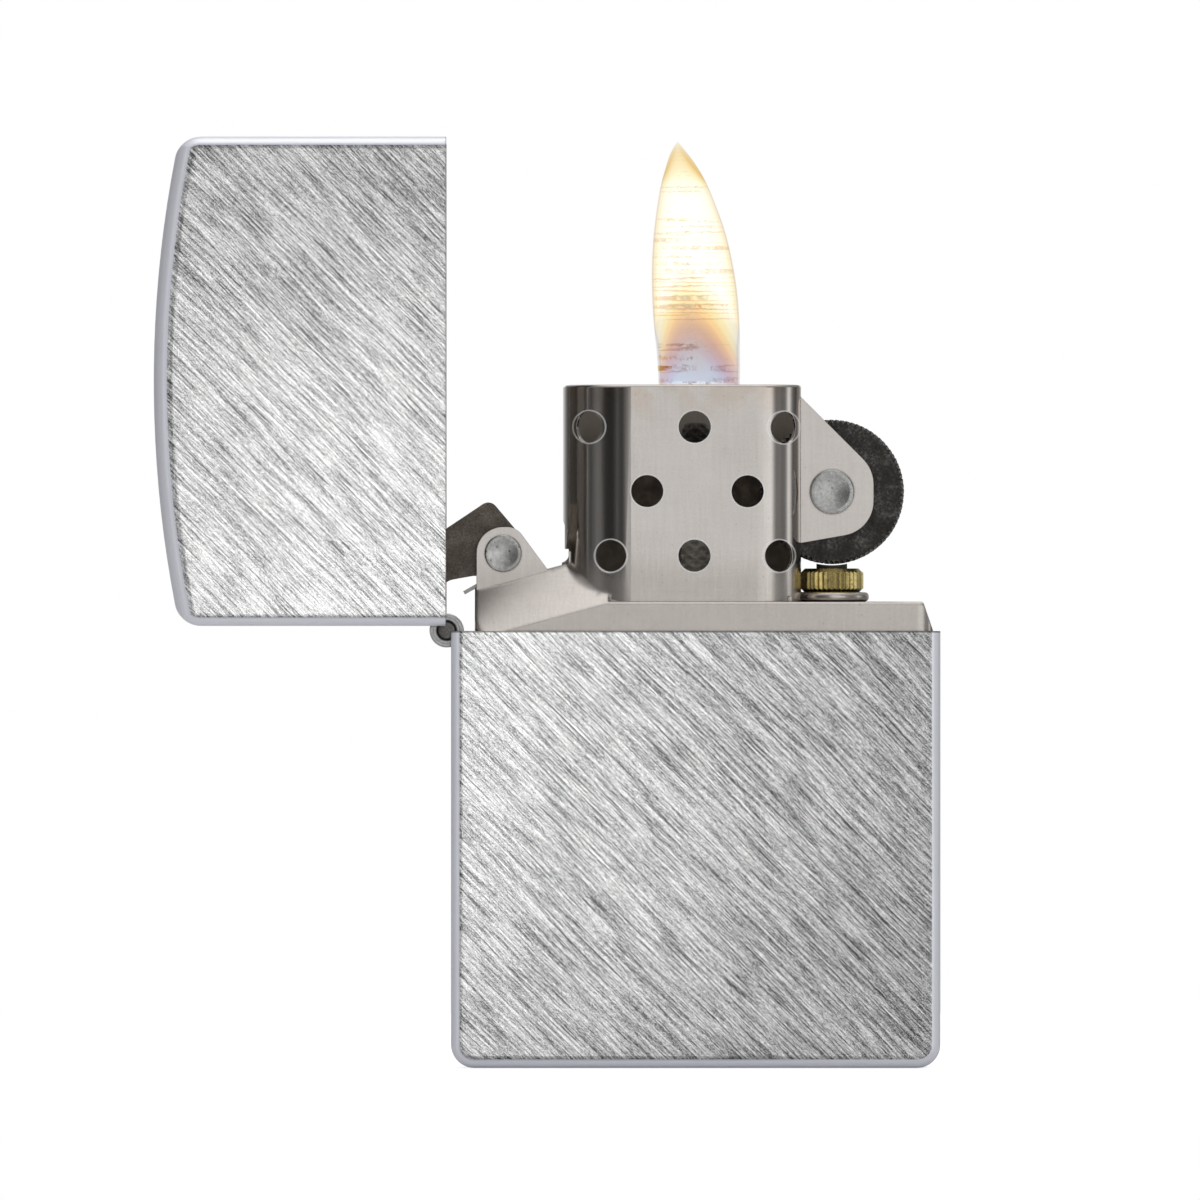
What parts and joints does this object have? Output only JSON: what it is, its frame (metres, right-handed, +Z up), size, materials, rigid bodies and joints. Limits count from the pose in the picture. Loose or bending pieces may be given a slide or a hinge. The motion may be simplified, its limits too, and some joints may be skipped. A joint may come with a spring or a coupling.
{
  "type": "flip-top wick lighter",
  "caption": "Refillable flip-top wick lighter with a brushed metal case, hinged lid, slide-in insert, perforated windshield, knurled striker wheel, flint and sprung lid cam.",
  "frame": {"origin": "centre of the case's base, on the surface it stands on", "axes": "+Z up through the case, +X towards the striker wheel (the lid's hinge is on -X), -Y the front face; the lid stands open a quarter turn from shut"},
  "size_m": [0.0613, 0.0128, 0.0725],
  "materials": {
    "case_metal": "brushed plated brass",
    "hinge_metal": "plated brass, satin",
    "pin_steel": "drawn steel",
    "insert_metal": "nickel, satin",
    "wick_cord": "braided cotton over fine copper wire",
    "cotton": "loose cotton balls",
    "felt": "pressed felt",
    "wheel_steel": "hardened dark steel, knurled",
    "rivet_metal": "nickel, satin",
    "brass": "turned brass",
    "flint": "pressed ferrocerium",
    "spring_steel": "spring steel",
    "cam_steel": "sintered steel, brownish"
  },
  "bodies": {
    "case": {"case_shell": "case_metal", "case_hinge_leaf": "hinge_metal", "hinge_pin": "pin_steel"},
    "lid": {"lid_shell": "case_metal", "lid_hinge_leaf": "hinge_metal"},
    "insert": {"insert_shell": "insert_metal", "partition_plate": "insert_metal", "wick": "wick_cord", "cotton_packing": "cotton", "felt_pad": "felt", "wheel_rivet": "rivet_metal", "flint_tube": "brass", "flint_tube_washer": "insert_metal", "flint_spring": "spring_steel", "cam_rivet": "rivet_metal", "cam_spring": "spring_steel", "cam_spring_rivet": "rivet_metal"},
    "wheel": {"striker_wheel": "wheel_steel"},
    "flint_feed": {"flint": "flint", "flint_pusher": "brass"},
    "screw": {"flint_screw": "brass"},
    "cam": {"cam_lever": "cam_steel"}
  },
  "joints": [
    {"name": "lid_hinge", "type": "hinge", "parent": "case", "child": "lid", "pos_m": [-0.0194, 0, 0.03405], "axis": [0, -1, 0], "range_deg": [-90, 25]},
    {"name": "insert_slide", "type": "slide", "parent": "case", "child": "insert", "axis": [0, 0, 1], "range_m": [0, 0.0295]},
    {"name": "cam_pivot", "type": "hinge", "parent": "insert", "child": "cam", "pos_m": [-0.015, 0, 0.04005], "axis": [0, -1, 0], "range_deg": [-96, 27], "deforming": ["cam_spring"]},
    {"name": "wheel_spin", "type": "hinge", "parent": "insert", "child": "wheel", "pos_m": [0.01063, 0, 0.04485], "axis": [0, 1, 0], "continuous": true},
    {"name": "flint_feed_slide", "type": "slide", "parent": "insert", "child": "flint_feed", "axis": [0, 0, 1], "range_m": [-0.002, 0], "stiffness_N_per_m": 300, "springref_m": 0.003, "deforming": ["flint_spring"]},
    {"name": "flint_screw_turn", "type": "hinge", "parent": "insert", "child": "screw", "pos_m": [0.01063, 0, 0.002], "axis": [0, 0, -1], "range_deg": [0, 720]}
  ],
  "couplings": [
    {"joint": "cam_pivot", "follows": "lid_hinge", "ratio": 1.06}
  ]
}
